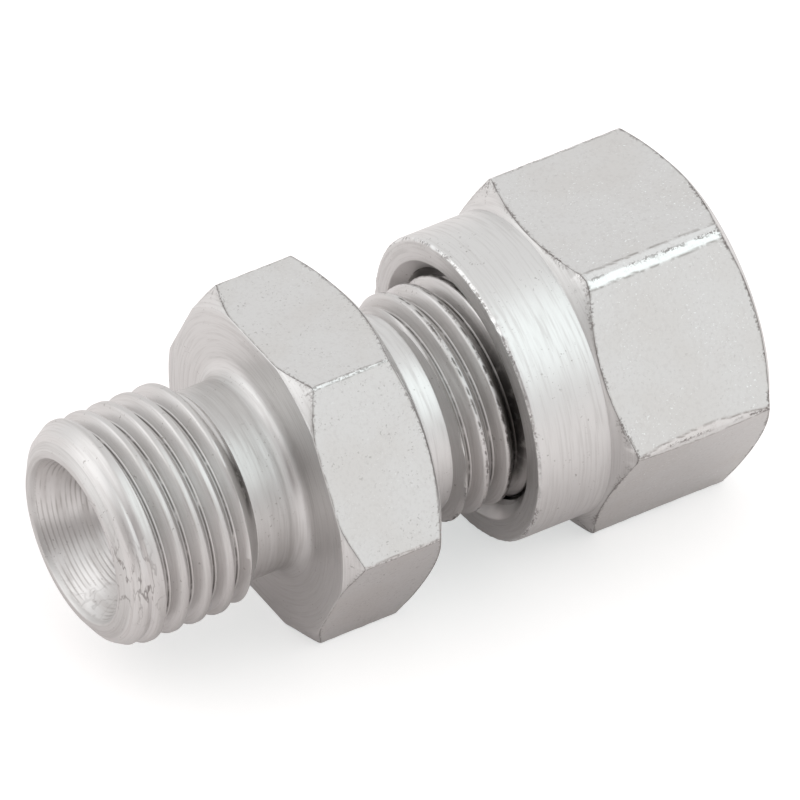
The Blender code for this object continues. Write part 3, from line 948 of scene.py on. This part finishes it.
def tube_end_zones():
    """The tube end's neck, its thread, and the inside from its mouth to the stud's countersink."""
    neck = [
        (TUBE_NECK_TOP, HEX_END),
        (TUBE_NECK_RADIUS, HEX_END),
        (TUBE_NECK_RADIUS, TUBE_NECK_END),
    ]
    thread = outside_thread_zone(
        TUBE_NECK_END, TUBE_THREAD_END, TUBE_GROOVE, tube_end_blank, np.zeros_like, **TUBE_CREST
    )
    cone_end = BODY_END - (TUBE_MOUTH_RADIUS - SOCKET_RADIUS) / CONE_SLOPE
    inside = [
        (tube_end_blank(TUBE_THREAD_END), TUBE_THREAD_END),
        (tube_end_blank(BODY_END), BODY_END),
        (TUBE_MOUTH_RADIUS, BODY_END),
        (SOCKET_RADIUS, cone_end),
        (SOCKET_RADIUS, BODY_END - SOCKET_DEPTH),
        (BORE_RADIUS, BODY_END - SOCKET_DEPTH),
        (BORE_RADIUS, COUNTERSINK_DEPTH + BORE_EDGE),
    ]
    mouth = [inside[-1], (BORE_RADIUS, COUNTERSINK_DEPTH), COUNTERSINK_RIM]
    return [
        round_zone(neck, reach=0.15),
        # Painted shade and dirt under the nut's mouth
        stain(thread, *TUBE_THREAD_DIRT),
        round_zone(inside, reach=0.08),
        stain(round_zone(mouth, reach=0.1, finish=BORED), *MOUTH_CRACKS),
    ]


# %% The body as one surface


def body_zones():
    """The body's section as zones, from the stud's mouth round the outside and back through the bore."""
    face_a = (HEX_START, STUD_FACE_RADIUS, STUD_CHAMFER)
    face_b = (HEX_END, WRENCH_RADIUS, WRENCH_CHAMFER)
    hexagon = hexagon_zone(face_a, face_b, BODY_CORNERS, rows=8, worn=0.7, seed=3)
    faces = [
        face_zone(NECK_TOP, HEX_START, hexagon["radius"][:1], -1),
        face_zone(TUBE_NECK_TOP, HEX_END, hexagon["radius"][-1:], 1),
    ]
    return [*stud_zones(), faces[0], hexagon, faces[1], *tube_end_zones()]


add_piece("stud_body_surface", body_zones(), BODY_ZINC, "body", "stud_body")

# %% [markdown]
# ## The union nut
#
# The nut is turned from the same bar, with a round collar at its open end. The barrel has knocked its
# corners flatter than the body's: the upper front one is a band almost a millimetre wide. Inside are the
# countersunk mouth, the thread, a relief, the seat for the cutting ring and the tube's hole.

# %% Sizes and marks of the nut's details
THREAD_CLEARANCE = 0.17
NUT_CREST_RADIUS = ROOT_RADIUS + THREAD_CLEARANCE
NUT_ROOT_RADIUS = CREST_RADIUS + THREAD_CLEARANCE
NUT_ROOT_HALF = 0.19
THREAD_RUN_IN = 1.0
THREAD_RUN_OUT = 0.6
NUT_THREAD_START = NUT_FRONT + NUT_MOUTH_RADIUS - NUT_CREST_RADIUS - THREAD_RUN_IN
NUT_SEAT_END = NUT_END - NUT_WALL
NUT_SEAT_START = NUT_SEAT_END - (NUT_SEAT_RADIUS - TUBE_HOLE_RADIUS)
NUT_THREAD_END = NUT_SEAT_START - NUT_RELIEF + THREAD_RUN_OUT
# Painted shade inside the nut: its whole thread is darkened, and its roots most
INSIDE_GRIME = 0.6
INSIDE_DIRT_WIDTHS = (0.2, 0.5)
COLLAR_GUARD = 0.4
COLLAR_KNOCK = {"reach": 0.14, "depth": 0.03, "seed": 31}

# Corners and stains, in the same order as the body's
NUT_CORNERS = (
    (0.1, 0.08, 0.07, 0.18, 0.11, 0.12),
    np.radians([5, 5, 4, 13, 9, 5]),
    (0.3, 0.3, 0.2, 0.1, 1.4, 0.3),
)
# Painted shade on the lower side of the nut's mouth and at the thread's start, with some dirt there
INSIDE_DIRT = ("grime", NUT_THREAD_START, 2.0, 270, 50, 1.0)
MOUTH_DIRT = ("grime", NUT_THREAD_START, 0.8, 255, 50, 1.0)

# %% The nut's inside thread


def nut_blank(station):
    """Radius of the nut's bore: a 45 degree countersink, the thread's crest, and the relief beyond."""
    fall = NUT_MOUTH_RADIUS - (station - NUT_FRONT)
    rise = NUT_CREST_RADIUS + np.maximum(station - NUT_SEAT_START + NUT_RELIEF, 0.0) / FLANK
    return np.maximum(np.maximum(fall, NUT_CREST_RADIUS), np.minimum(rise, NUT_RELIEF_RADIUS))


def inside_thread_zone(start, end, groove, outline):
    """A thread on the inside, as the outside one with root and crest changed over."""
    station = climbing_rows(start, end, groove)
    distance = from_groove(station, groove)
    radius = NUT_ROOT_RADIUS - (distance - NUT_ROOT_HALF) / FLANK
    radius = soft_min(radius, NUT_ROOT_RADIUS, blend=0.08)
    radius = soft_max(radius, NUT_CREST_RADIUS, blend=0.06)
    radius = soft_max(radius, outline(station), blend=0.04)
    # Painted shade: the inside thread is dark all over, and darkest in its roots
    grime = np.maximum(1 - smooth_step(*INSIDE_DIRT_WIDTHS, distance), INSIDE_GRIME)
    return zone(station, radius, THREAD, grime=grime)


# %% The nut as one surface


def nut_zones():
    """The nut's section as zones, from its mouth over the collar and hexagon and back down the inside."""
    cone = (COLLAR_END - EDGE_SOFT, COLLAR_RADIUS - EDGE_SOFT / WRENCH_CHAMFER, WRENCH_CHAMFER)
    end_face = (NUT_END, WRENCH_RADIUS, WRENCH_CHAMFER)
    hexagon = hexagon_zone(cone, end_face, NUT_CORNERS, rows=24, worn=1.0, seed=23)
    collar = [
        (nut_blank(NUT_THREAD_START), NUT_THREAD_START),
        (NUT_MOUTH_RADIUS, NUT_FRONT),
        (COLLAR_RADIUS - COLLAR_EDGE, NUT_FRONT),
        (COLLAR_RADIUS, NUT_FRONT + COLLAR_EDGE),
        (COLLAR_RADIUS, NUT_FRONT + COLLAR_EDGE + COLLAR_GUARD),
        (COLLAR_RADIUS, COLLAR_END),
    ]
    inside = [
        (TUBE_HOLE_RADIUS + HOLE_EDGE, NUT_END),
        (TUBE_HOLE_RADIUS, NUT_END - HOLE_EDGE),
        (TUBE_HOLE_RADIUS, NUT_SEAT_END),
        (NUT_SEAT_RADIUS, NUT_SEAT_START),
        (NUT_RELIEF_RADIUS, NUT_SEAT_START),
        (NUT_RELIEF_RADIUS, NUT_THREAD_END),
    ]
    thread = inside_thread_zone(NUT_THREAD_START, NUT_THREAD_END, TUBE_GROOVE + PITCH / 2, nut_blank)
    # Painted shade and some dirt at the thread's start, on the lower side
    thread = stain(thread, *INSIDE_DIRT)
    knocked = (COLLAR_RADIUS - COLLAR_EDGE / 2, NUT_FRONT + COLLAR_EDGE / 2)
    collar = knock_edge(round_zone(collar, reach=0.07), *knocked, **COLLAR_KNOCK)
    # Painted shade on the lower side of the mouth's countersink, kept off the outside of the collar
    collar = stain(collar, *MOUTH_DIRT)
    collar["grime"] = collar["grime"] * (collar["radius"] < NUT_MOUTH_RADIUS)
    return [
        collar,
        hexagon,
        face_zone(TUBE_HOLE_RADIUS + HOLE_EDGE, NUT_END, hexagon["radius"][-1:], 1),
        round_zone(inside, reach=0.08),
        {key: value[::-1] for key, value in thread.items()},
    ]


add_piece("union_nut_surface", nut_zones(), NUT_ZINC, "nut", "union_nut")

# %% [markdown]
# ## The cutting ring
#
# The ring is turned and case hardened, so it is greyer than the zinc. Its nose is a slim cone that slides
# into the body's cone, and two inner edges bite the tube when the nut is tightened.

# %% The ring's section


def ring_zones():
    """The ring's section, all of it round. It starts and ends inside the nose."""
    sleeve_front = RING_NOSE + (RING_SLEEVE_RADIUS - RING_NOSE_RADIUS) / CONE_SLOPE
    collar_rear = RING_REAR - (RING_COLLAR_RADIUS - RING_REAR_RADIUS)
    collar_front = collar_rear - RING_COLLAR_LENGTH
    edge = RING_NOSE + RING_EDGE_START
    second_edge = edge + RING_EDGE_LENGTH
    relieved = SOCKET_RADIUS + RING_EDGE_DEPTH
    inside_nose = (SOCKET_RADIUS, (RING_NOSE + edge) / 2)
    corners = [
        inside_nose,
        (SOCKET_RADIUS, RING_NOSE),
        (RING_NOSE_RADIUS, RING_NOSE),
        (RING_SLEEVE_RADIUS, sleeve_front),
        (RING_SLEEVE_RADIUS, collar_front - RING_STEP),
        (RING_COLLAR_RADIUS, collar_front),
        (RING_COLLAR_RADIUS, collar_rear),
        (RING_REAR_RADIUS, RING_REAR),
        (SOCKET_RADIUS, RING_REAR),
        (SOCKET_RADIUS, second_edge + RING_EDGE_DEPTH),
        (relieved, second_edge),
        (relieved, edge + RING_EDGE_DEPTH),
        (SOCKET_RADIUS, edge),
        inside_nose,
    ]
    return [round_zone(corners, reach=0.05, finish=0)]


add_piece("cutting_ring_surface", ring_zones(), [HARDENED], "ring", "cutting_ring")

# %% [markdown]
# ## Floor and light
#
# The photograph is a product shot on pure white. The floor is a plain pale plane that glows a little for
# the camera and for the metal that mirrors it, so it reads as white and still takes a soft shadow. The
# light is a white surround with two soft bright parts and one dim part. The bright band on the round
# surfaces is the first of them, and the second lights the fillet and the edges that face the stud.

# %% Floor
FLOOR_SIZE = 2.0
FLOOR_DROP = 0.01
CAMERA_GLOW = 0.52
MIRROR_GLOW = 0.33
SHADE_GLOW = 0.06
SHADE_START = 4.0
SHADE_END = 40.0
GLOW_COLOUR = (0.95, 1.0, 1.0, 1.0)


def white_floor():
    """Matte white that adds a little light of its own where the camera or a mirror looks at it.

    The glow that a mirror sees is a painted shadow: dim near the coupling, where the metal shades the
    floor, and growing away from it.
    """
    material, tree, shader, place = new_material("matte_white_paper")
    shader.inputs["Metallic"].default_value = 0.0
    shader.inputs["Base Color"].default_value = linear("#d4cccb")
    shader.inputs["Roughness"].default_value = 0.9
    shader.inputs["Specular IOR Level"].default_value = 0.0
    shader.inputs["Emission Color"].default_value = GLOW_COLOUR
    seen = add_node(tree, "ShaderNodeLightPath").outputs
    away = add_node(tree, "ShaderNodeVectorMath", {0: place}, operation="LENGTH").outputs["Value"]
    mirrored = rescale(tree, away, SHADE_START * MM, SHADE_END * MM, SHADE_GLOW, MIRROR_GLOW)
    mirrored = multiply(tree, seen["Is Glossy Ray"], mirrored)
    glow = calculate(tree, "MULTIPLY_ADD", seen["Is Camera Ray"], CAMERA_GLOW, mirrored)
    tree.links.new(glow, shader.inputs["Emission Strength"])
    return material


half = FLOOR_SIZE / 2
floor_mesh = bpy.data.meshes.new("floor")
square = ((-half, -half), (half, -half), (half, half), (-half, half))
floor_mesh.from_pydata([(x, y, -FLOOR_DROP * MM) for x, y in square], [], [(0, 1, 2, 3)])
floor_mesh.materials.append(white_floor())
floor = bpy.data.objects.new("floor", floor_mesh)
bpy.context.scene.collection.objects.link(floor)

# %% A surround that is bright and dim in places
# Each part: its direction, the cosines where it starts and is full, the change in level, and its colour
SURROUND = 0.95
WHITE = (1.0, 1.0, 1.0, 1.0)
SKY_PARTS = (
    ((0.38, -0.49, 0.785), 0.78, 0.98, 0.55, (0.94, 1.0, 1.0, 1.0)),
    ((-0.75, 0.45, 0.6), 0.77, 0.95, 0.54, WHITE),
    ((-0.78, -0.6, 0.18), 0.84, 0.96, -0.62, (1.0, 0.92, 0.9, 1.0)),
)

world = bpy.data.worlds.new("white_surround")
world.use_nodes = True
sky = world.node_tree
heading = add_node(sky, "ShaderNodeTexCoord").outputs["Generated"]
level = SURROUND
sky_colour = WHITE
for direction, start, full, change, colour in SKY_PARTS:
    middle = Vector(direction).normalized()
    cosine = add_node(sky, "ShaderNodeVectorMath", {0: heading, 1: middle}, operation="DOT_PRODUCT")
    part = rescale(sky, cosine.outputs["Value"], start, full)
    level = calculate(sky, "MULTIPLY_ADD", part, change, level)
    sky_colour = tint(sky, sky_colour, colour, part)
sky.links.new(sky_colour, sky.nodes["Background"].inputs["Color"])
sky.links.new(level, sky.nodes["Background"].inputs["Strength"])
bpy.context.scene.world = world

# %% [markdown]
# ## Camera
#
# The camera stands about a metre away with a long lens, 40 degrees above the floor, to the stud's side.
# It was fitted to corners and edges measured in the photograph, and leans by a degree and a half.

# %% Camera
AZIMUTH = math.radians(-29.638)
ELEVATION = math.radians(39.844)
ROLL = math.radians(-1.539)
DISTANCE = 955.29
PIXELS_PER_MM = 17.438
TARGET_STATION = 21.677
TARGET_RIGHT = 0.054
TARGET_UP = -0.690
IMAGE_PIXELS = 800
SENSOR = 36.0
NEAREST = 0.01
FARTHEST = 10.0

back = Vector(
    (
        math.sin(AZIMUTH) * math.cos(ELEVATION),
        -math.cos(AZIMUTH) * math.cos(ELEVATION),
        math.sin(ELEVATION),
    )
)
level_right = Vector((math.cos(AZIMUTH), math.sin(AZIMUTH), 0.0))
level_up = back.cross(level_right)
right = level_right * math.cos(ROLL) + level_up * math.sin(ROLL)
up = level_up * math.cos(ROLL) - level_right * math.sin(ROLL)
target = Vector((ORIGIN_X + TARGET_STATION, 0.0, AXIS_Z))
place = target + back * DISTANCE - right * TARGET_RIGHT - up * TARGET_UP

camera_data = bpy.data.cameras.new("camera")
camera_data.sensor_width = SENSOR
camera_data.lens = PIXELS_PER_MM * DISTANCE / IMAGE_PIXELS * SENSOR
camera_data.clip_start = NEAREST
camera_data.clip_end = FARTHEST
camera = bpy.data.objects.new("camera", camera_data)
bpy.context.scene.collection.objects.link(camera)
turned = Matrix((right, up, back)).transposed()
camera.matrix_world = Matrix.Translation(place * MM) @ turned.to_4x4()
bpy.context.scene.camera = camera
bpy.context.scene.view_settings.view_transform = "Standard"
print(f"camera {DISTANCE:.0f} mm away with a {camera_data.lens:.0f} mm lens")
